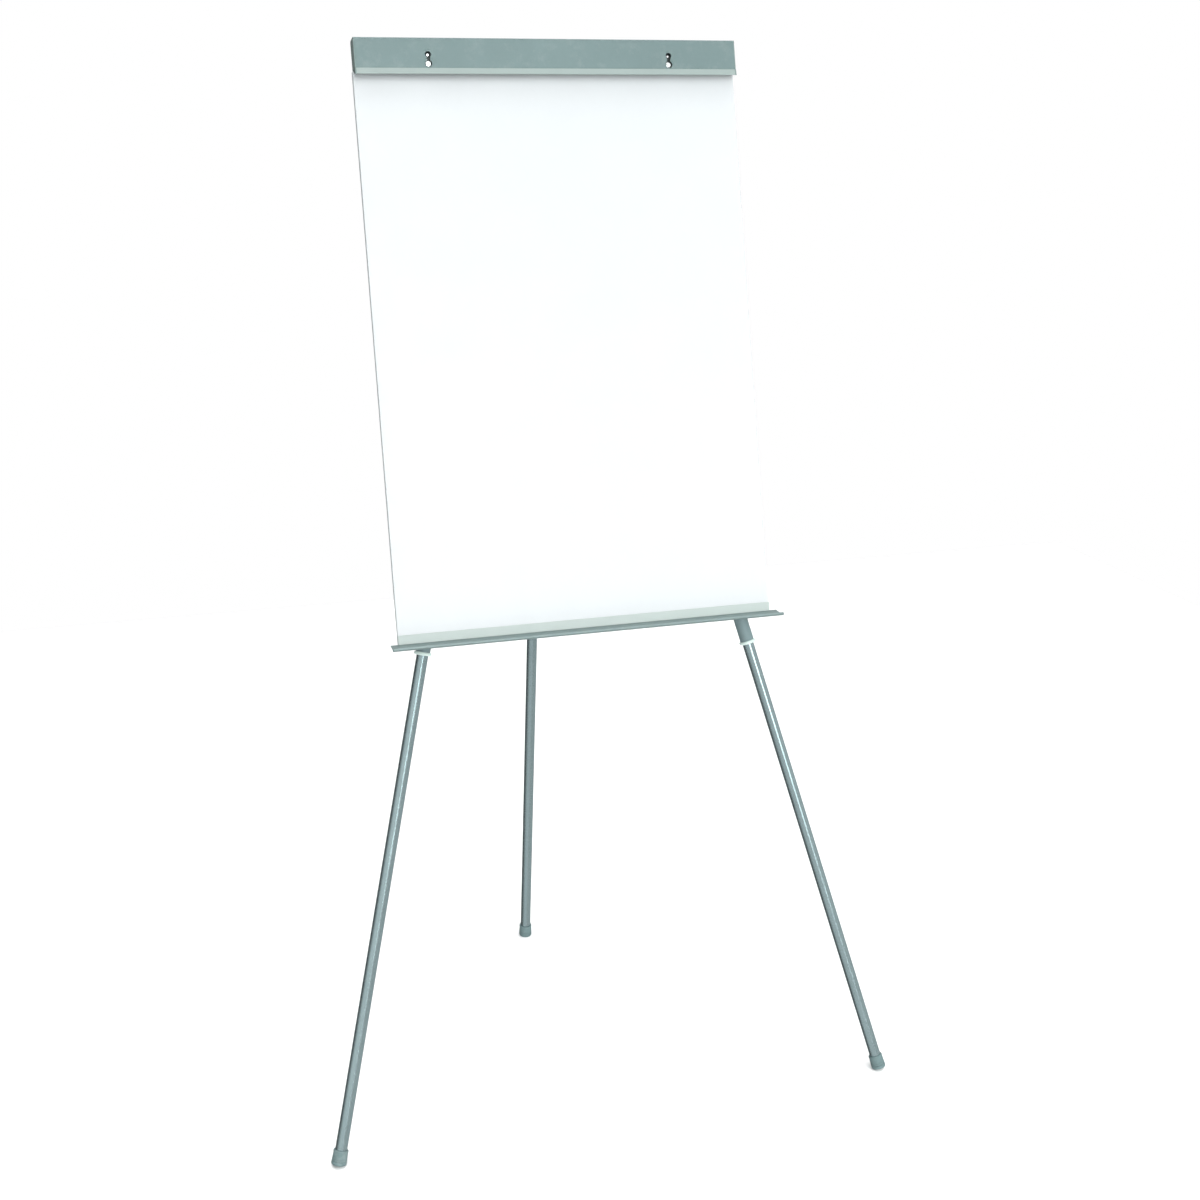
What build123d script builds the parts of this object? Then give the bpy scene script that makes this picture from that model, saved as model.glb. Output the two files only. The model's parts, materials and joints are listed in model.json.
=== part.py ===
from build123d import *
import os
from math import cos, radians, sin, tan

os.makedirs("parts", exist_ok=True)

# Flipchart easel, millimetres. +Z is up, the writing face looks towards -Y and
# the origin is the centre of the footprint on the floor.

# Board
board_width = 700.0
board_height = 1045.0
panel_height = 992.0
board_thickness = 10.0
sheet_thickness = 0.6
board_lean = 14.5
board_bottom_z = 890.0
board_bottom_y = -156.98
edge_radius = 1.2

# Clamp bar and the rail it turns on
bar_half_width = 346.4
bar_front = 20.0
bar_wall = 1.8
bar_back = -9.5
bar_back_radius = 5.0
bar_front_radius = 1.5
block_front = 3.5
block_drop = 4.5
lip_top = 992.8
lip_bottom = 981.8
lip_step = 1.0
lip_flare = 2.4
lip_rise = 7.5
lip_round = 0.8
hinge_v = 1036.0
hinge_n = -4.0
bead_radius = 3.5
bead_gap = 0.3
bore_edge_n = 3.1
bore_edge_v = 2.2
rail_half_width = 345.9
rail_top = 1028.0
rail_front = -0.2
rail_wall = 1.5
neck_half = 1.2
end_cap_thickness = 2.0
cap_gap = 0.5
cap_clearance = 1.0
grip_height = 3.0
grip_width = 2.0
grip_gap = 0.3
grip_round = 0.6

# Spring notches in the rail's bead
notch_u = 150.0
notch_width = 24.0
journal_radius = 2.0
coil_radius = 2.9
coil_wire = 0.5
coil_turns = 8
coil_spacing = 1.15

# Pad pegs and the keyhole windows in the bar
peg_u = 220.0
peg_v = 1001.0
peg_radius = 4.6
peg_reach = 16.4
peg_round = 0.6
pin_v = 1016.5
pin_radius = 2.4
pin_reach = 15.0
window_low_radius = 6.4
window_high_radius = 5.4
window_neck = 6.5
shank_radius = 2.5
rivet_radius = 4.0
rivet_height = 1.5

# Pen tray
tray_half_width = 364.0
tray_sheet = 1.2
flange_height = 15.8
strip_thickness = 1.8
strip_round = 0.8
strip_drop = 0.3
ledge_depth = 36.0
roll_radius = 3.0
roll_bore = 1.8
plug_flange = 1.6
plug_round = 1.4

# Legs, shared
upper_radius = 13.0
tube_wall = 1.2
lower_radius = 10.7
pivot_to_ring = 1066.9
tube_start = 28.0
neck_start = 16.0
ring_radius = 15.5
ring_height = 6.0
ring_round = 2.3
bush_sleeve = 34.0
running_gap = 0.05
lower_length = 1000.0
foot_radius = 13.75
foot_height = 27.0
foot_socket = 21.0
foot_edge = 3.0
foot_rim = 1.0
foot_taper = 1.5
sole_cut = 0.8
knuckle_half = 10.0
pivot_radius = 4.0
plug_length = 36.0

# Twist lock inside each leg
lock_height = 24.0
lock_collar = 2.0
lock_gap = 0.5
cam_radius = 6.0
cam_offset = 1.0
cam_bore = 7.3
cam_head_radius = 9.0
cam_head_height = 3.0
cam_plug = 20.0
lock_slot = 2.0

# Front legs
leg_splay = 14.0
leg_offset = 298.4
leg_n = -26.0
pivot_v = {"left": 1014.0, "right": 978.0}
side_sign = {"left": -1, "right": 1}

# Rear leg
rear_pivot_v = 975.0
rear_pivot_n = -36.0
rear_angle = 7.4

# Head bracket
head_plate = 2.0
head_centre = (4.5, 985.0)
head_size = (154.0, 88.0)
head_corner = 12.0
ear_radius = 14.0
ear_thickness = 3.0
ear_gap = 0.5
collar_radius = 8.0
washer_radius = 9.0
washer_height = 1.0
nut_radius = 8.0
nut_height = 6.5
nut_chamfer = 0.9
bolt_end = 1.0
pin_head_radius = 6.5
pin_head_height = 2.5

# Leg clips behind the lower edge of the board
clip_v = 62.0
clip_height = 34.0
clip_wall = 2.2
clip_gap = 0.3
clip_arm = 9.0
clip_foot = 16.0

# Screws driven in from the back
screw_radius = 2.0
screw_length = 7.0
screw_head_radius = 4.2
screw_head_height = 2.4
screw_slot = 1.0
head_screws = [(-22.0, 956.0), (28.0, 956.0), (-22.0, 1023.0), (28.0, 1023.0)]
tray_screws = [(-300.0, 8.0), (0.0, 8.0), (300.0, 8.0)]

lean = radians(board_lean)
splay = radians(leg_splay)
board_up = Vector(0, sin(lean), cos(lean))
board_normal = Vector(0, -cos(lean), sin(lean))
board_origin = Vector(0, board_bottom_y, board_bottom_z)
board_plane = Plane(board_origin, x_dir=(1, 0, 0), z_dir=board_normal)
up_axis = Axis(board_origin, board_up)
normal_axis = Axis(board_origin, board_normal)


def on_board(u, v, n):
    return board_origin + Vector(u, 0, 0) + board_up * v + board_normal * n


def section(u):
    """Plane across the board at u, drawn as (n, v); it extrudes towards -X."""
    return Plane(on_board(u, 0, 0), x_dir=board_normal, z_dir=(-1, 0, 0))


def edge_near(part, v, n):
    """The edge along X that is nearest to (v, n) on the board."""
    return part.edges().filter_by(Axis.X).sort_by_distance(on_board(0, v, n))[0]


def save(part, name):
    part.part.label = name
    export_step(part.part, f"parts/{name}.step")


# Where the front legs cross the board's back at a height v
def leg_u(side, v):
    return side_sign[side] * (leg_offset - tan(splay) * v)


def clip_screw_u(side):
    return leg_u(side, clip_v) + side_sign[side] * (upper_radius + clip_foot / 2 + clip_wall)


clip_screws = {side: (clip_screw_u(side), clip_v) for side in side_sign}
back_screws = head_screws + tray_screws + [clip_screws["left"], clip_screws["right"]]

# ---------------------------------------------------------------- board panel
with BuildPart() as writing_surface:
    with BuildSketch(board_plane):
        with Locations((0, panel_height / 2)):
            Rectangle(board_width, panel_height)
    extrude(amount=-board_thickness)
    long_edges = writing_surface.edges().filter_by(up_axis)
    fillet(long_edges.sort_by(normal_axis)[-2:], edge_radius)
    with BuildSketch(board_plane.offset(-sheet_thickness)):
        with Locations((0, panel_height / 2)):
            Rectangle(board_width - 2 * sheet_thickness, panel_height - 2 * sheet_thickness)
    extrude(amount=-board_thickness, mode=Mode.SUBTRACT)
save(writing_surface, "writing_surface")

core_depth = board_thickness - 2 * sheet_thickness
with BuildPart() as board_core:
    with BuildSketch(board_plane.offset(-sheet_thickness)):
        with Locations((0, panel_height / 2)):
            Rectangle(board_width - 2 * sheet_thickness, panel_height - 2 * sheet_thickness)
        with Locations(*back_screws):
            Circle(screw_radius, mode=Mode.SUBTRACT)
    extrude(amount=-core_depth)
    core_edges = board_core.edges().filter_by(up_axis)
    chamfer(core_edges.sort_by(normal_axis)[-2:], sheet_thickness)
save(board_core, "board_core")

with BuildPart() as back_sheet:
    with BuildSketch(board_plane.offset(-board_thickness)):
        with Locations((0, panel_height / 2)):
            Rectangle(board_width - 2 * sheet_thickness, panel_height - 2 * sheet_thickness)
        with Locations(*back_screws):
            Circle(screw_radius, mode=Mode.SUBTRACT)
    extrude(amount=sheet_thickness)
save(back_sheet, "back_sheet")


def make_screw(name, centre, surface_n):
    with BuildPart() as screw:
        with BuildSketch(board_plane.offset(surface_n)):
            with Locations(centre):
                Circle(screw_head_radius)
        extrude(amount=-screw_head_height)
        head_rim = screw.edges().sort_by(normal_axis)[0]
        fillet(head_rim, screw_head_height / 2)
        with BuildSketch(board_plane.offset(surface_n - screw_head_height)):
            with Locations(centre):
                Rectangle(screw_head_radius, screw_slot)
                Rectangle(screw_slot, screw_head_radius)
        extrude(amount=screw_slot, mode=Mode.SUBTRACT)
        with BuildSketch(board_plane.offset(surface_n)):
            with Locations(centre):
                Circle(screw_radius)
        extrude(amount=screw_length)
    save(screw, name)


# ------------------------------------------------------------------ clamp rail
with BuildPart() as clamp_rail:
    with BuildSketch(section(rail_half_width)):
        with BuildLine():
            Polyline(
                (-board_thickness, panel_height),
                (rail_front, panel_height),
                (rail_front, rail_top),
                (hinge_n + neck_half, rail_top),
                (hinge_n + neck_half, hinge_v),
                (hinge_n - neck_half, hinge_v),
                (hinge_n - neck_half, rail_top),
                (-board_thickness, rail_top),
                close=True,
            )
        make_face()
        with Locations((hinge_n, hinge_v)):
            Circle(bead_radius)
        with Locations(((rail_front - board_thickness) / 2, (panel_height + rail_top) / 2)):
            Rectangle(
                board_thickness + rail_front - 2 * rail_wall,
                rail_top - panel_height - 2 * rail_wall,
                mode=Mode.SUBTRACT,
            )
    extrude(amount=2 * rail_half_width)
    for side in (-1, 1):
        with BuildSketch(section(side * notch_u + notch_width / 2)):
            with Locations((hinge_n, hinge_v)):
                Circle(bead_radius + bead_gap)
            with Locations((hinge_n, (rail_top + hinge_v) / 2)):
                Rectangle(2 * neck_half, hinge_v - rail_top)
            with Locations((hinge_n, hinge_v)):
                Circle(journal_radius, mode=Mode.SUBTRACT)
        extrude(amount=notch_width, mode=Mode.SUBTRACT)
    with BuildSketch(board_plane):
        with Locations((-peg_u, peg_v), (peg_u, peg_v)):
            Circle(shank_radius)
        with Locations((-peg_u, pin_v), (peg_u, pin_v)):
            Circle(pin_radius)
    extrude(amount=-2 * rail_wall, mode=Mode.SUBTRACT)
    with BuildSketch(board_plane.offset(-board_thickness)):
        with Locations(*head_screws):
            Circle(screw_radius)
    extrude(amount=2 * rail_wall, mode=Mode.SUBTRACT)
save(clamp_rail, "clamp_rail")


def make_peg(name, u, v, radius, shank, reach):
    with BuildPart() as peg:
        with BuildSketch(board_plane.offset(rail_front)):
            with Locations((u, v)):
                Circle(radius)
        extrude(amount=reach - rail_front)
        rim = peg.edges().sort_by(normal_axis)[-1]
        fillet(rim, peg_round)
        with BuildSketch(board_plane.offset(rail_front - rail_wall)):
            with Locations((u, v)):
                Circle(shank)
        extrude(amount=rail_wall)
        with BuildSketch(board_plane.offset(rail_front - rail_wall)):
            with Locations((u, v)):
                Circle(rivet_radius)
        extrude(amount=-rivet_height)
    save(peg, name)


for side, sign in side_sign.items():
    make_peg(f"pad_peg_{side}", sign * peg_u, peg_v, peg_radius, shank_radius, peg_reach)
    make_peg(f"pad_pin_{side}", sign * peg_u, pin_v, pin_radius, pin_radius, pin_reach)

# Torsion coils that close the clamp, one in each notch
coil_pitch = 2 * coil_wire * coil_spacing
coil_length = coil_pitch * coil_turns
for side, sign in side_sign.items():
    coil_start = on_board(sign * notch_u - coil_length / 2, hinge_v, hinge_n)
    with BuildPart() as clamp_spring:
        with BuildLine() as coil:
            Helix(coil_pitch, coil_length, coil_radius, center=coil_start, direction=(1, 0, 0))
        with BuildSketch(Plane(coil.line @ 0, z_dir=coil.line % 0)):
            Circle(coil_wire)
        sweep(path=coil.line, is_frenet=True)
    save(clamp_spring, f"clamp_spring_{side}")

# ------------------------------------------------------------------- clamp bar
bar_inside = bar_front - bar_wall
grip_front = grip_gap + grip_width
flange_run = bar_front + lip_flare - grip_front
corner_rise = lip_rise * (bar_front + lip_flare - bar_inside) / flange_run
bar_outline = [
    (bar_front, lip_top),
    (bar_front, board_height),
    (bar_back, board_height),
    (bar_back, hinge_v),
    (hinge_n, hinge_v),
    (hinge_n + bore_edge_n, hinge_v - bore_edge_v),
    (block_front, hinge_v - block_drop),
    (block_front, board_height - bar_wall),
    (bar_inside, board_height - bar_wall),
    (bar_inside, lip_top),
]
lip_outline = [
    (bar_front + lip_step, lip_top),
    (bar_front + lip_flare, lip_bottom),
    (grip_front, lip_bottom + lip_rise),
    (grip_front, lip_bottom + lip_rise + bar_wall),
    (bar_inside, lip_bottom + corner_rise + bar_wall),
    (bar_inside, lip_top),
]
cap_outline = [
    (bar_front + lip_flare, lip_bottom),
    (bar_front + lip_step, lip_top),
    (bar_front, lip_top),
    (bar_front, board_height),
    (bar_back, board_height),
    (bar_back, panel_height + cap_clearance),
    (cap_gap, panel_height + cap_clearance),
    (cap_gap, lip_bottom + lip_rise),
]
with BuildPart() as clamp_bar:
    with BuildSketch(section(bar_half_width)):
        with BuildLine():
            Polyline(*bar_outline, close=True)
        make_face()
        with Locations((hinge_n, hinge_v)):
            Circle(bead_radius + bead_gap, mode=Mode.SUBTRACT)
    extrude(amount=2 * bar_half_width)
    fillet(edge_near(clamp_bar, board_height, bar_back), bar_back_radius)
    fillet(edge_near(clamp_bar, board_height, bar_front), bar_front_radius)
    with BuildSketch(board_plane):
        with Locations((-peg_u, peg_v), (peg_u, peg_v)):
            Circle(window_low_radius)
        with Locations((-peg_u, pin_v), (peg_u, pin_v)):
            Circle(window_high_radius)
        with Locations((-peg_u, (peg_v + pin_v) / 2), (peg_u, (peg_v + pin_v) / 2)):
            Rectangle(window_neck, pin_v - peg_v)
    extrude(amount=2 * bar_front, mode=Mode.SUBTRACT)
save(clamp_bar, "clamp_bar")

with BuildPart() as clamp_lip:
    with BuildSketch(section(bar_half_width)):
        with BuildLine():
            Polyline(*lip_outline, close=True)
        make_face()
    extrude(amount=2 * bar_half_width)
    fillet(edge_near(clamp_lip, lip_top, bar_front + lip_step), lip_step / 2)
    fillet(edge_near(clamp_lip, lip_bottom, bar_front + lip_flare), lip_round)
save(clamp_lip, "clamp_lip")

for side, sign in side_sign.items():
    outer_u = bar_half_width + end_cap_thickness if sign > 0 else -bar_half_width
    with BuildPart() as end_cap:
        with BuildSketch(section(outer_u)):
            with BuildLine():
                Polyline(*cap_outline, close=True)
            make_face()
        extrude(amount=end_cap_thickness)
        fillet(edge_near(end_cap, board_height, bar_back), bar_back_radius)
        fillet(edge_near(end_cap, board_height, bar_front), bar_front_radius)
    save(end_cap, f"clamp_end_cap_{side}")

with BuildPart() as grip_strip:
    with BuildSketch(section(bar_half_width - end_cap_thickness)):
        with Locations((grip_gap + grip_width / 2, lip_bottom + lip_rise + bar_wall / 2)):
            RectangleRounded(grip_width, grip_height, grip_round)
    extrude(amount=2 * (bar_half_width - end_cap_thickness))
save(grip_strip, "grip_strip")

# -------------------------------------------------------------------- pen tray
with BuildPart() as pen_tray:
    with BuildSketch(section(board_width / 2)):
        with Locations((tray_sheet / 2, flange_height / 2 - strip_round - tray_sheet / 2)):
            Rectangle(tray_sheet, flange_height - 2 * strip_round + tray_sheet)
    extrude(amount=board_width)
    with BuildSketch(section(tray_half_width)):
        with Locations(Location((0, 0), -board_lean)):
            with Locations(((ledge_depth - roll_radius) / 2, -tray_sheet / 2)):
                Rectangle(ledge_depth - roll_radius, tray_sheet)
            with Locations((ledge_depth - roll_radius, roll_radius - tray_sheet)):
                Circle(roll_radius)
                Circle(roll_bore, mode=Mode.SUBTRACT)
    extrude(amount=2 * tray_half_width)
save(pen_tray, "pen_tray")

with BuildPart() as tray_strip:
    with BuildSketch(section(board_width / 2)):
        with Locations((tray_sheet + strip_thickness / 2, flange_height / 2 - strip_drop / 2)):
            Rectangle(strip_thickness, flange_height + strip_drop)
    extrude(amount=board_width)
    fillet(edge_near(tray_strip, flange_height, tray_sheet + strip_thickness), strip_round)
save(tray_strip, "tray_strip")

roll_n = (ledge_depth - roll_radius) * cos(lean) + (roll_radius - tray_sheet) * sin(lean)
roll_v = -(ledge_depth - roll_radius) * sin(lean) + (roll_radius - tray_sheet) * cos(lean)
for side, sign in side_sign.items():
    plug_start = tray_half_width + plug_flange if sign > 0 else -tray_half_width
    with BuildPart() as tray_plug:
        with BuildSketch(section(plug_start)):
            with Locations((roll_n, roll_v)):
                Circle(roll_radius)
        extrude(amount=plug_flange)
        plug_edges = tray_plug.edges().sort_by(Axis.X)
        fillet(plug_edges[-1] if sign > 0 else plug_edges[0], plug_round)
        with BuildSketch(section(sign * tray_half_width)):
            with Locations((roll_n, roll_v)):
                Circle(roll_bore)
        extrude(amount=sign * 4 * plug_flange)
    save(tray_plug, f"tray_plug_{side}")

# ---------------------------------------------------------------- head bracket
plate_back = -board_thickness - head_plate
with BuildPart() as head_bracket:
    with BuildSketch(board_plane.offset(-board_thickness)):
        with Locations(head_centre):
            RectangleRounded(*head_size, head_corner)
        with Locations(*head_screws):
            Circle(screw_radius, mode=Mode.SUBTRACT)
    extrude(amount=-head_plate)
    for start_u in (knuckle_half + ear_gap + ear_thickness, -knuckle_half - ear_gap):
        with BuildSketch(section(start_u)):
            with Locations(((plate_back + rear_pivot_n) / 2, rear_pivot_v)):
                Rectangle(plate_back - rear_pivot_n, 2 * ear_radius)
            with Locations((rear_pivot_n, rear_pivot_v)):
                Circle(ear_radius)
                Circle(pivot_radius, mode=Mode.SUBTRACT)
        extrude(amount=ear_thickness)
save(head_bracket, "head_bracket")

ear_outer = knuckle_half + ear_gap + ear_thickness
with BuildPart() as rear_hinge_pin:
    with BuildSketch(section(ear_outer + pin_head_height)):
        with Locations((rear_pivot_n, rear_pivot_v)):
            Circle(pivot_radius)
    extrude(amount=2 * (ear_outer + pin_head_height))
    for start_u in (ear_outer + pin_head_height, -ear_outer):
        with BuildSketch(section(start_u)):
            with Locations((rear_pivot_n, rear_pivot_v)):
                Circle(pin_head_radius)
        extrude(amount=pin_head_height)
    outer_rims = rear_hinge_pin.edges().filter_by(GeomType.CIRCLE).sort_by(Axis.X)
    fillet([outer_rims[0], outer_rims[-1]], pin_head_height / 2)
save(rear_hinge_pin, "rear_hinge_pin")

knuckle_front = leg_n + knuckle_half
knuckle_back = leg_n - knuckle_half
nut_start = knuckle_back - lock_gap - washer_height
bolt_tip = nut_start - nut_height + bolt_end
for side in side_sign:
    centre = (leg_u(side, pivot_v[side]), pivot_v[side])
    with BuildPart() as pivot_bolt:
        with BuildSketch(board_plane.offset(plate_back)):
            with Locations(centre):
                Circle(collar_radius)
        extrude(amount=knuckle_front + lock_gap - plate_back)
        with BuildSketch(board_plane.offset(plate_back)):
            with Locations(centre):
                Circle(pivot_radius)
        extrude(amount=bolt_tip - plate_back)
    save(pivot_bolt, f"{side}_pivot_bolt")
    with BuildPart() as pivot_nut:
        with BuildSketch(board_plane.offset(knuckle_back - lock_gap)):
            with Locations(centre):
                Circle(washer_radius)
        extrude(amount=-washer_height)
        with BuildSketch(board_plane.offset(nut_start)):
            with Locations(centre):
                RegularPolygon(nut_radius, 6)
        extrude(amount=-nut_height)
        nut_face = pivot_nut.faces().sort_by(normal_axis)[0]
        chamfer(nut_face.edges(), nut_chamfer)
        with BuildSketch(board_plane.offset(knuckle_back - lock_gap)):
            with Locations(centre):
                Circle(pivot_radius)
        extrude(amount=bolt_tip - nut_start - washer_height, mode=Mode.SUBTRACT)
    save(pivot_nut, f"{side}_pivot_nut")

for index, centre in enumerate(head_screws, start=1):
    make_screw(f"head_screw_{index}", centre, plate_back)
for index, centre in enumerate(tray_screws, start=1):
    make_screw(f"tray_screw_{index}", centre, -board_thickness)


# ------------------------------------------------------------------------ legs
def front_leg_plane(side):
    upward = board_up * cos(splay) - Vector(side_sign[side] * sin(splay), 0, 0)
    pivot = on_board(leg_u(side, pivot_v[side]), pivot_v[side], leg_n)
    return Plane(pivot, x_dir=board_normal, z_dir=upward)


rear_tilt = radians(rear_angle)
rear_plane = Plane(
    on_board(0, rear_pivot_v, rear_pivot_n),
    x_dir=(1, 0, 0),
    z_dir=(0, -sin(rear_tilt), cos(rear_tilt)),
)
leg_planes = {"left": front_leg_plane("left"), "right": front_leg_plane("right"), "rear": rear_plane}


def leg_length(plane):
    """Pivot to sole along the leg, with the sole's rim sunk by the flat cut on it."""
    drop = plane.z_dir.Z
    slant = (1 - drop**2) ** 0.5
    sole_z = foot_edge + (foot_radius - foot_edge) * slant - foot_edge * drop - sole_cut
    return (plane.origin.Z - sole_z) / drop


for side in side_sign:
    plane = leg_planes[side]
    inward = -side_sign[side]
    clip_z = -(pivot_v[side] - clip_v) / cos(splay)
    reach = -board_thickness - leg_n
    hollow = upper_radius + clip_gap
    with BuildPart() as leg_clip:
        with BuildSketch(plane.offset(clip_z - clip_height / 2)):
            Circle(hollow + clip_wall)
            with Locations((0, inward * clip_arm / 2)):
                Rectangle(2 * (hollow + clip_wall), clip_arm)
            with Locations((0, inward * (clip_arm + hollow))):
                Rectangle(2 * (hollow + 2 * clip_wall), 2 * hollow, mode=Mode.SUBTRACT)
            with Locations(((reach + hollow) / 2, -inward * (hollow + clip_foot) / 2)):
                Rectangle(reach - hollow, hollow + clip_foot)
            with Locations((reach + clip_wall, 0)):
                Rectangle(2 * clip_wall, 6 * hollow, mode=Mode.SUBTRACT)
            Circle(hollow, mode=Mode.SUBTRACT)
            with Locations((0, inward * hollow)):
                Rectangle(2 * hollow, 2 * hollow, mode=Mode.SUBTRACT)
        extrude(amount=clip_height)
        with BuildSketch(board_plane.offset(-board_thickness)):
            with Locations(clip_screws[side]):
                Circle(screw_radius)
        extrude(amount=-board_thickness, mode=Mode.SUBTRACT)
    save(leg_clip, f"{side}_leg_clip")
    make_screw(f"{side}_clip_screw", clip_screws[side], leg_n + hollow)


def make_leg(name, plane):
    length = leg_length(plane)
    tube_end = -pivot_to_ring + ring_height / 2
    upper_bore = upper_radius - tube_wall
    lower_bore = lower_radius - tube_wall
    along = Axis(plane.origin, plane.z_dir)

    knuckle_side = plane.from_local_coords(Vector(-knuckle_half, 0, 0))
    knuckle_plane = Plane(knuckle_side, x_dir=plane.y_dir, z_dir=plane.x_dir)
    with BuildPart() as knuckle:
        with BuildSketch(knuckle_plane):
            Circle(upper_radius)
        extrude(amount=2 * knuckle_half)
        with BuildSketch(plane):
            Rectangle(2 * knuckle_half, 2 * upper_radius)
        extrude(amount=-neck_start)
        with BuildSketch(plane.offset(-tube_start)):
            Circle(upper_radius)
        extrude(amount=tube_start - neck_start)
        with BuildSketch(plane.offset(-tube_start)):
            Circle(upper_bore)
        extrude(amount=-plug_length)
        with BuildSketch(knuckle_plane):
            Circle(pivot_radius + running_gap)
        extrude(amount=2 * knuckle_half, mode=Mode.SUBTRACT)
    save(knuckle, f"{name}_leg_knuckle")

    with BuildPart() as upper_tube:
        with BuildSketch(plane.offset(tube_end)):
            Circle(upper_radius)
            Circle(upper_bore, mode=Mode.SUBTRACT)
        extrude(amount=-tube_start - tube_end)
    save(upper_tube, f"{name}_upper_tube")

    with BuildPart() as bush:
        with BuildSketch(plane.offset(tube_end)):
            Circle(ring_radius)
        extrude(amount=-ring_height)
        rims = bush.edges().filter_by(GeomType.CIRCLE).sort_by(along)
        fillet([rims[0], rims[-1]], ring_round)
        with BuildSketch(plane.offset(tube_end)):
            Circle(upper_bore)
        extrude(amount=bush_sleeve)
        with BuildSketch(plane.offset(tube_end - ring_height)):
            Circle(lower_radius + running_gap)
        extrude(amount=ring_height + bush_sleeve, mode=Mode.SUBTRACT)
    save(bush, f"{name}_guide_bush")

    tube_low = -length + foot_height - foot_socket
    tube_high = -length + lower_length
    with BuildPart() as lower_tube:
        with BuildSketch(plane.offset(tube_low)):
            Circle(lower_radius)
            Circle(lower_bore, mode=Mode.SUBTRACT)
        extrude(amount=tube_high - tube_low)
    save(lower_tube, f"{name}_lower_tube")

    with BuildPart() as lock_cam:
        with BuildSketch(plane.offset(tube_high - cam_plug)):
            Circle(lower_bore)
        extrude(amount=cam_plug)
        with BuildSketch(plane.offset(tube_high)):
            Circle(lower_radius)
        extrude(amount=lock_collar)
        with BuildSketch(plane.offset(tube_high + lock_collar)):
            with Locations((0, cam_offset)):
                Circle(cam_radius)
        extrude(amount=lock_height + 2 * lock_gap)
        with BuildSketch(plane.offset(tube_high + lock_collar + lock_height + 2 * lock_gap)):
            Circle(cam_head_radius)
        extrude(amount=cam_head_height)
    save(lock_cam, f"{name}_lock_cam")

    with BuildPart() as lock_ring:
        with BuildSketch(plane.offset(tube_high + lock_collar + lock_gap)):
            Circle(upper_bore - 2 * running_gap)
            Circle(cam_bore, mode=Mode.SUBTRACT)
            with Locations((0, -upper_bore / 2)):
                Rectangle(lock_slot, upper_bore, mode=Mode.SUBTRACT)
        extrude(amount=lock_height)
    save(lock_ring, f"{name}_lock_ring")

    with BuildPart() as foot:
        with BuildSketch(plane.offset(-length)):
            Circle(foot_radius)
        extrude(amount=foot_height, taper=foot_taper)
        foot_rims = foot.edges().filter_by(GeomType.CIRCLE).sort_by(along)
        fillet(foot_rims[0], foot_edge)
        fillet(foot_rims[-1], foot_rim)
        with BuildSketch(plane.offset(tube_low)):
            Circle(lower_radius)
        extrude(amount=foot_height, mode=Mode.SUBTRACT)
        sole = plane.from_local_coords(Vector(0, 0, -length))
        with BuildSketch(Plane.XY):
            with Locations((sole.X, sole.Y)):
                Rectangle(4 * foot_radius, 4 * foot_radius)
        extrude(amount=-foot_height, mode=Mode.SUBTRACT)
    save(foot, f"{name}_foot")


for name, plane in leg_planes.items():
    make_leg(name, plane)
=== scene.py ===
import json
import math

import bmesh
import bpy
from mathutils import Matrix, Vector


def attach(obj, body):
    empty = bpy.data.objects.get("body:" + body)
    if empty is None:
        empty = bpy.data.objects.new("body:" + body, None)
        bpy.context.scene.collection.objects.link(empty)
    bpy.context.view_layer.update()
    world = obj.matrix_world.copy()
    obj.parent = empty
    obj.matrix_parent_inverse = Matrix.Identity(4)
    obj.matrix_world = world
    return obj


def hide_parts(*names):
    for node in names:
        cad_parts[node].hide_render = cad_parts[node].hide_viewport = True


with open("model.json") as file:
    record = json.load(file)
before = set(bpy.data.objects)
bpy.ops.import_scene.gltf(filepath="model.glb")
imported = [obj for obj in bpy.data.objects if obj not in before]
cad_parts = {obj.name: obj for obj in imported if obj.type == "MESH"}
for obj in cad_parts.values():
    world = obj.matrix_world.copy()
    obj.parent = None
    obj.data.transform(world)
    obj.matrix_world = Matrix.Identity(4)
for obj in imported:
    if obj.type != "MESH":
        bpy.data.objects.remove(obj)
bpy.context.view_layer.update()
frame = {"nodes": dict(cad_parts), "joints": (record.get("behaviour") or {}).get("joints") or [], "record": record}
nodes = frame["nodes"]


# ---------------------------------------------------------------- node helpers
class Graph:
    """Short-hand for building one node tree."""

    def __init__(self, tree):
        self.tree = tree
        tree.nodes.clear()

    def node(self, kind, **inputs):
        n = self.tree.nodes.new(kind)
        settings = inputs.pop("settings", {})
        for key, value in settings.items():
            setattr(n, key, value)
        for key, value in inputs.items():
            self.put(n.inputs[key.replace("_", " ")], value)
        return n

    def put(self, socket, value):
        if isinstance(value, bpy.types.NodeSocket):
            self.tree.links.new(value, socket)
        else:
            socket.default_value = value

    def math(self, op, a, b=0.0):
        n = self.tree.nodes.new("ShaderNodeMath")
        n.operation = op
        self.put(n.inputs[0], a)
        self.put(n.inputs[1], b)
        return n.outputs[0]

    def remap(self, value, low, high, out_low, out_high):
        n = self.node("ShaderNodeMapRange")
        self.put(n.inputs[0], value)
        for index, number in enumerate((low, high, out_low, out_high), start=1):
            n.inputs[index].default_value = number
        return n.outputs[0]

    def mix(self, factor, a, b):
        n = self.node("ShaderNodeMix", settings={"data_type": "RGBA"})
        self.put(n.inputs[0], factor)
        self.put(n.inputs[6], a)
        self.put(n.inputs[7], b)
        return n.outputs[2]

    def noise(self, where, scale, detail=4.0, roughness=0.5):
        n = self.node(
            "ShaderNodeTexNoise", Vector=where, Scale=scale, Detail=detail, Roughness=roughness
        )
        return n.outputs[0]

    def stretch(self, where, scale):
        n = self.node("ShaderNodeMapping", Vector=where)
        n.inputs["Scale"].default_value = scale
        return n.outputs[0]


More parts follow.
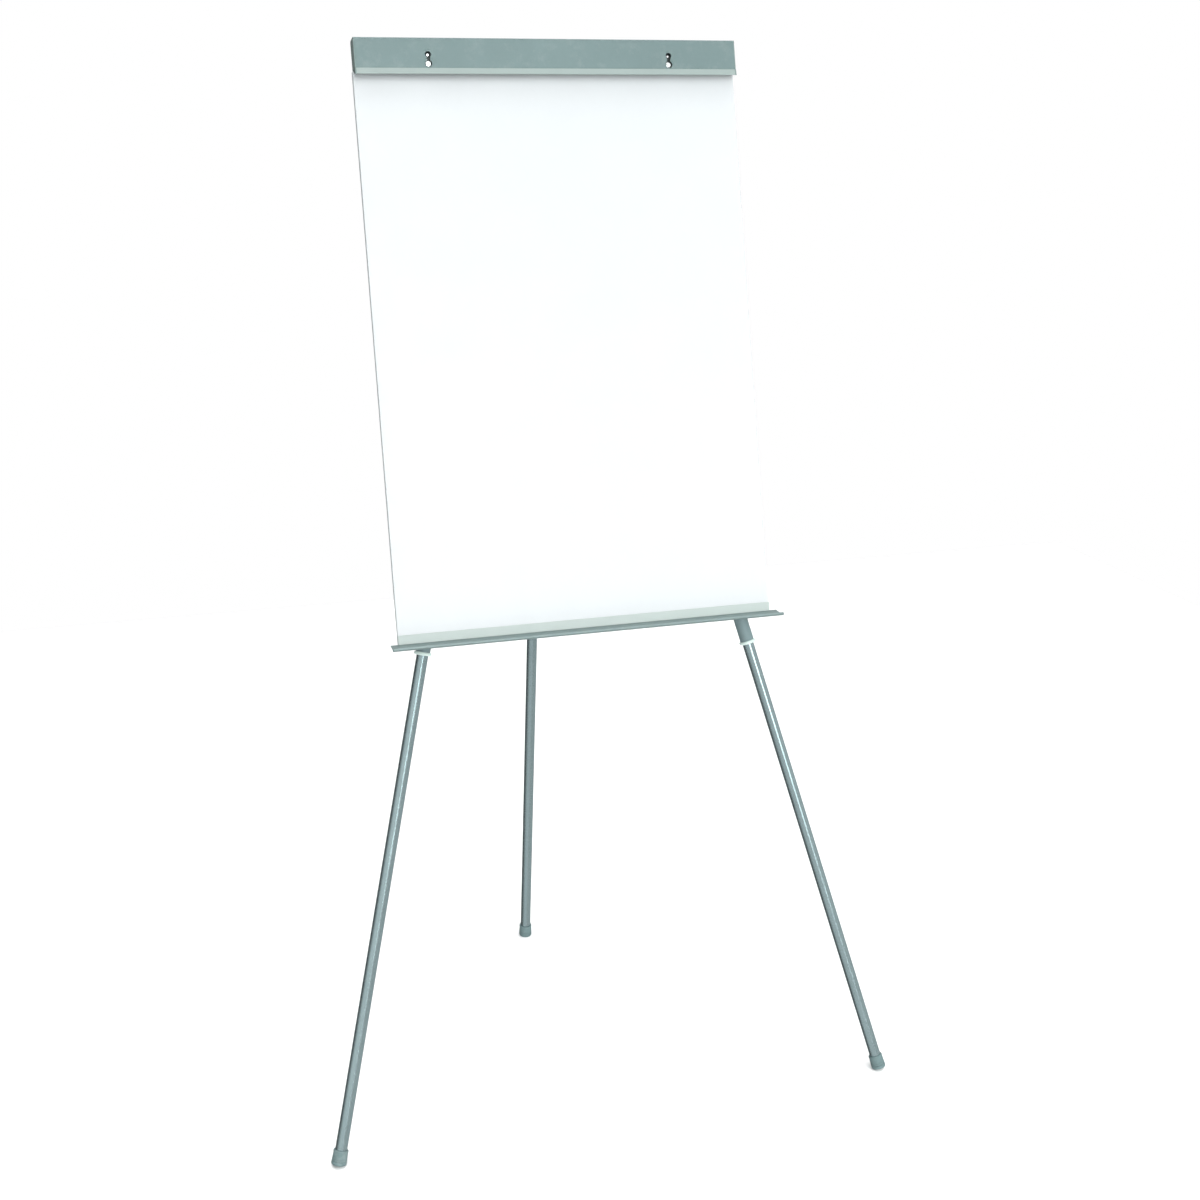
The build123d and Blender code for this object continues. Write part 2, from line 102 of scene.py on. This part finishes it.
def srgb(r, g, b):
    """A linear colour from display levels of 0 to 255."""

    def lin(c):
        c /= 255.0
        return c / 12.92 if c <= 0.04045 else ((c + 0.055) / 1.055) ** 2.4

    return (lin(r), lin(g), lin(b), 1.0)


def shade(colour, factor):
    return tuple(c * factor for c in colour[:3]) + (1.0,)


COAT_ROUGHNESS = 0.12
DUST_COLOUR = (0.72, 0.72, 0.69, 1.0)
LEAST_ROUGHNESS = 0.03
CLOUD_SIZE = 9.0
SPECK_SIZE = 140.0
DUST_SIZE = 26.0
SMEAR_SIZE = 14.0
SMEAR_STRETCH = (3.0, 3.0, 0.8)
SCRATCH_SIZE = 38.0
SCRATCH_STRETCH = (1.0, 1.0, 40.0)
BUMP_DISTANCE = 0.001
# Share of cloud, speck and fine grain in the colour's mottle.
MOTTLE = (0.55, 0.3, 0.15)


def finish(
    name, colour, rough, metal=0.0, coat=0.0, tone=0.06, grain=0.0, grain_size=900.0,
    peel=0.0, peel_size=220.0, spread=0.08, stretch=(1, 1, 1), scratch=0.0, specular=0.5, dust=0.0,
):
    """A procedural finish: cloudy colour, uneven gloss, fine grain, orange peel, wipe marks and dust."""
    mat = bpy.data.materials.new(name)
    mat.use_nodes = True
    g = Graph(mat.node_tree)
    where = g.node("ShaderNodeTexCoord").outputs["Object"]
    out = g.node("ShaderNodeOutputMaterial")
    bsdf = g.node("ShaderNodeBsdfPrincipled")
    bsdf.inputs["Metallic"].default_value = metal
    bsdf.inputs["Coat Weight"].default_value = coat
    bsdf.inputs["Coat Roughness"].default_value = COAT_ROUGHNESS
    bsdf.inputs["Specular IOR Level"].default_value = specular

    cloud = g.noise(where, CLOUD_SIZE, 5.0, 0.55)
    fine = g.noise(g.stretch(where, stretch), grain_size, 3.0, 0.6)
    speck = g.noise(where, SPECK_SIZE, 6.0, 0.7)
    cloud_share, speck_share, fine_share = MOTTLE
    mottle = g.math("MULTIPLY", cloud, cloud_share)
    mottle = g.math("ADD", mottle, g.math("MULTIPLY", speck, speck_share))
    mottle = g.math("ADD", mottle, g.math("MULTIPLY", fine, fine_share))
    blend = g.remap(mottle, 0.35, 0.65, 0.0, 1.0)
    paint = g.mix(blend, shade(colour, 1 - tone), shade(colour, 1 + tone))
    if dust:
        settled = g.remap(g.noise(where, DUST_SIZE, 8.0, 0.72), 0.52, 0.72, 0.0, dust)
        paint = g.mix(settled, paint, DUST_COLOUR)
    g.put(bsdf.inputs["Base Color"], paint)

    smear = g.noise(g.stretch(where, SMEAR_STRETCH), SMEAR_SIZE, 6.0, 0.65)
    gloss = g.remap(smear, 0.3, 0.7, max(rough - spread, LEAST_ROUGHNESS), rough + spread)
    if scratch:
        lines = g.noise(g.stretch(where, SCRATCH_STRETCH), SCRATCH_SIZE, 2.0, 0.5)
        mark = g.remap(lines, 0.66, 0.74, 0.0, scratch)
        gloss = g.math("ADD", gloss, mark)
    g.put(bsdf.inputs["Roughness"], gloss)

    height = g.math("MULTIPLY", fine, grain)
    height = g.math("ADD", height, g.math("MULTIPLY", g.noise(where, peel_size, 2.0, 0.5), peel))
    bump = g.node("ShaderNodeBump", Height=height, Strength=1.0, Distance=BUMP_DISTANCE)
    g.put(bsdf.inputs["Normal"], bump.outputs[0])
    g.put(out.inputs["Surface"], bsdf.outputs[0])
    return mat


materials = {
    "lacquer_white": finish("lacquer_white", srgb(186, 191, 193), 0.42, coat=0.08, tone=0.012, peel=0.03,
                            peel_size=160.0, spread=0.07, scratch=0.05),
    "fibre_core": finish("fibre_core", srgb(176, 150, 118), 0.9, tone=0.22, grain=0.25, grain_size=600.0,
                         stretch=(0.3, 1, 1)),
    "back_zinc": finish("back_zinc", srgb(190, 198, 199), 0.46, metal=0.3, tone=0.07, grain=0.05,
                        grain_size=1200.0, stretch=(1, 1, 0.02), spread=0.12, dust=0.12),
    "bar_grey": finish("bar_grey", srgb(95, 115, 115), 0.44, metal=0.15, tone=0.05, grain=0.06,
                       grain_size=1500.0, spread=0.06, dust=0.05),
    "rail_grey": finish("rail_grey", srgb(158, 172, 172), 0.42, metal=0.45, tone=0.05, grain=0.05,
                        grain_size=1500.0, stretch=(0.02, 1, 1)),
    "cap_dark": finish("cap_dark", srgb(100, 118, 116), 0.5, tone=0.1, grain=0.12, grain_size=1700.0),
    "tube_grey": finish("tube_grey", srgb(170, 191, 194), 0.22, metal=0.85, tone=0.05, grain=0.02,
                        grain_size=1500.0, spread=0.05),
    "tube_matt": finish("tube_matt", srgb(112, 131, 133), 0.5, metal=0.2, tone=0.06, grain=0.08,
                        grain_size=1300.0, spread=0.06),
    "bush_light": finish("bush_light", srgb(188, 205, 200), 0.5, tone=0.05, grain=0.08,
                         grain_size=1700.0),
    "foot_grey": finish("foot_grey", srgb(94, 115, 116), 0.62, tone=0.09, grain=0.15, grain_size=1300.0,
                        dust=0.18),
    "knuckle_dark": finish("knuckle_dark", srgb(58, 63, 65), 0.55, tone=0.1, grain=0.12,
                           grain_size=1500.0, dust=0.08),
    "lock_nylon": finish("lock_nylon", srgb(216, 214, 204), 0.5, tone=0.04, grain=0.05),
    "tray_grey": finish("tray_grey", srgb(110, 127, 126), 0.4, metal=0.3, tone=0.035, grain=0.04,
                        grain_size=1500.0, spread=0.07, dust=0.06),
    # Lighter copy of the bar's grey for the clamp lip: a painted highlight standing in for the light its flared
    # face catches.
    "lip_painted_highlight": finish("lip_painted_highlight", srgb(131, 145, 142), 0.42, tone=0.03, grain=0.04,
                        grain_size=1500.0, spread=0.06),
    "strip_light": finish("strip_light", srgb(162, 173, 170), 0.42, tone=0.03, grain=0.04,
                          grain_size=1500.0, spread=0.06),
    "bracket_grey": finish("bracket_grey", srgb(108, 118, 120), 0.48, metal=0.2, tone=0.06, grain=0.08),
    "steel": finish("steel", srgb(186, 188, 190), 0.3, metal=0.95, tone=0.08, grain=0.04, spread=0.12),
    "peg_bright": finish("peg_bright", srgb(222, 228, 228), 0.2, metal=0.9, tone=0.05, spread=0.08),
    "grip_rubber": finish("grip_rubber", srgb(40, 42, 42), 0.75, tone=0.12, grain=0.15),
}

LEGS = ("left", "right", "rear")

finish_of = {part["node"]: part["material_slot"] for part in frame["record"]["subparts"]}
# The clamp lip wears a lighter copy of the bar's grey, a painted highlight in place of the light its flared face
# catches.
finish_of["clamp_lip"] = "lip_painted_highlight"
for side in LEGS:
    finish_of[f"{side}_upper_tube"] = "tube_matt"
for name, obj in nodes.items():
    obj.data.materials.clear()
    obj.data.materials.append(materials[finish_of[name]])

# ------------------------------------------------------------------------ edges
MM = 0.001
EDGE_WIDTH = 0.4 * MM
EDGE_SEGMENTS = 2
EDGE_ANGLE = math.radians(28)

for name, obj in nodes.items():
    if name.startswith("clamp_spring"):
        continue
    bevel = obj.modifiers.new("edge", "BEVEL")
    bevel.width = EDGE_WIDTH
    bevel.segments = EDGE_SEGMENTS
    bevel.limit_method = "ANGLE"
    bevel.angle_limit = EDGE_ANGLE
    bevel.harden_normals = False

# ----------------------------------------------------------------- moulded feet
TURN_STEPS = 96
ARC_STEPS = 5
SHARP_ANGLE = math.radians(40)
WAIST_DEPTH = 0.45
GROOVE_DEPTH = 1.0
SOLE_ROUND = 2.8
MOUTH_ROUND = 1.3
CREST_ROUND = 0.3
GROOVE_ROUND = 0.2
SHOULDER_ROUND = 0.8


def leg_axis(side):
    """A point on a leg's centre line and the direction up it."""
    twist = next(j for j in frame["joints"] if j["name"] == f"{side}_leg_twist")
    up = Vector(twist["axis"]).normalized()
    return Vector(twist["pos_m"]), up * math.copysign(1.0, up.z)


def span(node, start, up):
    """How far a node reaches along a leg, low then high, and its outer radius."""
    arms = [v.co - start for v in nodes[node].data.vertices]
    heights = [arm.dot(up) for arm in arms]
    radii = [(arm - up * arm.dot(up)).length for arm in arms]
    return min(heights), max(heights), max(radii)


def rounded(corners):
    """A closed profile from (radius, height, rounding) corners, each turned to an arc."""
    profile = []
    for i, (x, y, size) in enumerate(corners):
        here = Vector((x, y))
        if size == 0:
            profile.append((x, y))
            continue
        before = (Vector(corners[i - 1][:2]) - here).normalized()
        after = (Vector(corners[(i + 1) % len(corners)][:2]) - here).normalized()
        half = before.angle(after) / 2
        centre = here + (before + after).normalized() * size / math.sin(half)
        first = here + before * size / math.tan(half) - centre
        last = here + after * size / math.tan(half) - centre
        for step in range(ARC_STEPS + 1):
            arm = first.lerp(last, step / ARC_STEPS).normalized() * size
            profile.append(tuple(centre + arm))
    return profile


def turned(name, start, up, profile):
    """A profile of (radius, height) points spun about a leg's centre line and cut flat at the floor."""
    side = up.orthogonal().normalized()
    cross = up.cross(side)
    bm = bmesh.new()
    rings = []
    for radius, height in profile:
        centre = start + up * height
        if radius == 0:
            rings.append([bm.verts.new(centre)])
            continue
        turns = [2 * math.pi * k / TURN_STEPS for k in range(TURN_STEPS)]
        spokes = [side * math.cos(turn) + cross * math.sin(turn) for turn in turns]
        rings.append([bm.verts.new(centre + spoke * radius) for spoke in spokes])
    for lower, upper in zip(rings, rings[1:]):
        for k in range(TURN_STEPS):
            after = (k + 1) % TURN_STEPS
            loop = [
                lower[k % len(lower)],
                lower[after % len(lower)],
                upper[after % len(upper)],
                upper[k % len(upper)],
            ]
            bm.faces.new([v for i, v in enumerate(loop) if v not in loop[:i]])
    cut = bmesh.ops.bisect_plane(
        bm,
        geom=bm.verts[:] + bm.edges[:] + bm.faces[:],
        plane_co=(0, 0, 0),
        plane_no=(0, 0, 1),
        clear_inner=True,
    )
    rim = [e for e in cut["geom_cut"] if isinstance(e, bmesh.types.BMEdge)]
    bmesh.ops.edgeloop_fill(bm, edges=rim)
    bmesh.ops.recalc_face_normals(bm, faces=bm.faces)
    mesh = bpy.data.meshes.new(name)
    bm.to_mesh(mesh)
    bm.free()
    mesh.shade_smooth()
    mesh.set_sharp_from_angle(angle=SHARP_ANGLE)
    obj = bpy.data.objects.new(name, mesh)
    bpy.context.scene.collection.objects.link(obj)
    return obj


def foot_corners(low, high, wide, tube, socket):
    """The cap from the middle of its sole, up two grooves to its mouth and down its socket."""
    waist = wide - WAIST_DEPTH * MM
    groove = wide - GROOVE_DEPTH * MM
    crest = wide - 0.1 * MM
    above_sole = [
        (wide, 0.0, SOLE_ROUND),
        (wide, 7.0, CREST_ROUND),
        (groove, 7.3, GROOVE_ROUND),
        (groove, 8.5, GROOVE_ROUND),
        (crest, 8.8, CREST_ROUND),
        (crest, 11.0, CREST_ROUND),
        (groove, 11.3, GROOVE_ROUND),
        (groove, 12.5, GROOVE_ROUND),
        (waist + 0.1 * MM, 12.8, CREST_ROUND),
    ]
    below_mouth = [
        (waist - 0.35 * MM, 4.2, SHOULDER_ROUND),
        (waist, 3.6, CREST_ROUND),
        (waist, 0.0, MOUTH_ROUND),
        (tube + 0.7 * MM, 0.0, CREST_ROUND),
        (tube, 1.2, GROOVE_ROUND),
    ]
    corners = [(0.0, low, 0.0)]
    corners += [(radius, low + rise * MM, size * MM) for radius, rise, size in above_sole]
    corners += [(radius, high - drop * MM, size * MM) for radius, drop, size in below_mouth]
    return corners + [(tube, socket, 0.0), (0.0, socket, 0.0)]


for side in LEGS:
    start, up = leg_axis(side)
    low, high, wide = span(f"{side}_foot", start, up)
    socket, _, tube = span(f"{side}_lower_tube", start, up)
    corners = foot_corners(low, high, wide, tube, socket)
    cap = turned(f"{side}_foot_moulded", start, up, rounded(corners))
    cap.data.materials.append(materials["foot_grey"])
    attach(cap, f"{side}_lower")
    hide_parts(f"{side}_foot")

# ----------------------------------------------------------------------- studio
FLOOR_SIZE = 6.0
WHITE = (1.0, 1.0, 1.0, 1.0)

bpy.ops.mesh.primitive_plane_add(size=FLOOR_SIZE, location=(0, 0, 0))
floor = bpy.context.object
floor.name = "studio_floor"
floor_paint = finish("floor_paint", srgb(246, 247, 247), 0.85, tone=0.006, specular=0.2)
floor.data.materials.append(floor_paint)
floor.visible_glossy = False

world = bpy.data.worlds.new("studio_world")
bpy.context.scene.world = world
world.use_nodes = True
wg = Graph(world.node_tree)
sky = wg.node("ShaderNodeTexCoord").outputs["Generated"]
direction = wg.node("ShaderNodeSeparateXYZ", Vector=sky)
ahead = wg.math("MULTIPLY", direction.outputs[1], -1.0)
bearing = wg.math("ARCTAN2", direction.outputs[0], ahead)


def glow(centre, half_width, soft, strength):
    """Light from a band of bearings, in degrees right of straight ahead of the board."""
    away = wg.math("ABSOLUTE", wg.math("SUBTRACT", bearing, math.radians(centre)))
    return wg.remap(away, math.radians(half_width), math.radians(half_width + soft), strength, 0.0)


BASE_LEVEL = 0.36
BELOW_HORIZON = 0.72
height = direction.outputs[2]
foot_of_window = wg.remap(height, 0.0, 0.12, 0.0, 1.0)
head_of_window = wg.remap(height, 0.75, 0.95, 1.0, 0.0)
window = wg.math("MULTIPLY", foot_of_window, head_of_window)
strip = wg.math("MULTIPLY", glow(9.0, 3.0, 6.0, 7.5), window)
level = wg.math("ADD", glow(-30.0, 25.0, 30.0, 0.34), BASE_LEVEL)
level = wg.math("ADD", glow(80.0, 60.0, 20.0, 0.14), level)
level = wg.math("SUBTRACT", level, glow(-130.0, 30.0, 20.0, 0.34))
from_ahead = wg.math("ABSOLUTE", bearing)
behind = wg.remap(from_ahead, math.radians(140), math.radians(165), 0.0, 0.4)
level = wg.math("ADD", level, behind)
level = wg.math("MULTIPLY", level, wg.remap(height, -0.1, 0.1, BELOW_HORIZON, 1.0))
level = wg.math("ADD", level, strip)
seen = wg.node("ShaderNodeLightPath").outputs["Is Camera Ray"]
lit = wg.node("ShaderNodeBackground", Color=WHITE, Strength=level)
plain = wg.node("ShaderNodeBackground", Color=WHITE, Strength=1.0)
blend = wg.node("ShaderNodeMixShader")
wg.put(blend.inputs[0], seen)
wg.put(blend.inputs[1], lit.outputs[0])
wg.put(blend.inputs[2], plain.outputs[0])
wg.put(wg.node("ShaderNodeOutputWorld").inputs["Surface"], blend.outputs[0])


def lamp(name, kind, energy, **settings):
    light = bpy.data.lights.new(name, kind)
    light.energy = energy
    for key, value in settings.items():
        setattr(light, key, value)
    obj = bpy.data.objects.new(name, light)
    bpy.context.scene.collection.objects.link(obj)
    return obj


FILL_PLACE = Vector((2.4, -1.6, 1.5))
FILL_TARGET = Vector((0.3, -0.05, 1.35))

right_fill = lamp("right_fill", "AREA", 38.0, shape="RECTANGLE", size=1.6, size_y=2.2)
right_fill.location = FILL_PLACE
right_fill.rotation_euler = (FILL_TARGET - FILL_PLACE).to_track_quat("-Z", "Y").to_euler()
right_fill.visible_glossy = False

lamp("overhead", "SUN", 2.3, angle=math.radians(60))

front_fill = lamp("front_fill", "SUN", 1.3, angle=math.radians(40))
front_fill.rotation_euler = (math.radians(72), 0.0, math.radians(-14))
front_fill.visible_glossy = False

# ----------------------------------------------------------------------- camera
SENSOR_WIDTH = 36.0
FOCAL_LENGTH = 49.41
CAMERA_PLACE = (-0.8082, -2.87868, 1.8119)
CAMERA_PITCH = math.radians(90 - 17.053)
CAMERA_TURN = math.radians(-16.915)

camera_data = bpy.data.cameras.new("camera")
camera_data.sensor_width = SENSOR_WIDTH
camera_data.lens = FOCAL_LENGTH
camera = bpy.data.objects.new("camera", camera_data)
bpy.context.scene.collection.objects.link(camera)
camera.location = CAMERA_PLACE
camera.rotation_euler = (CAMERA_PITCH, 0.0, CAMERA_TURN)
bpy.context.scene.camera = camera

bpy.context.scene.view_settings.view_transform = "Standard"
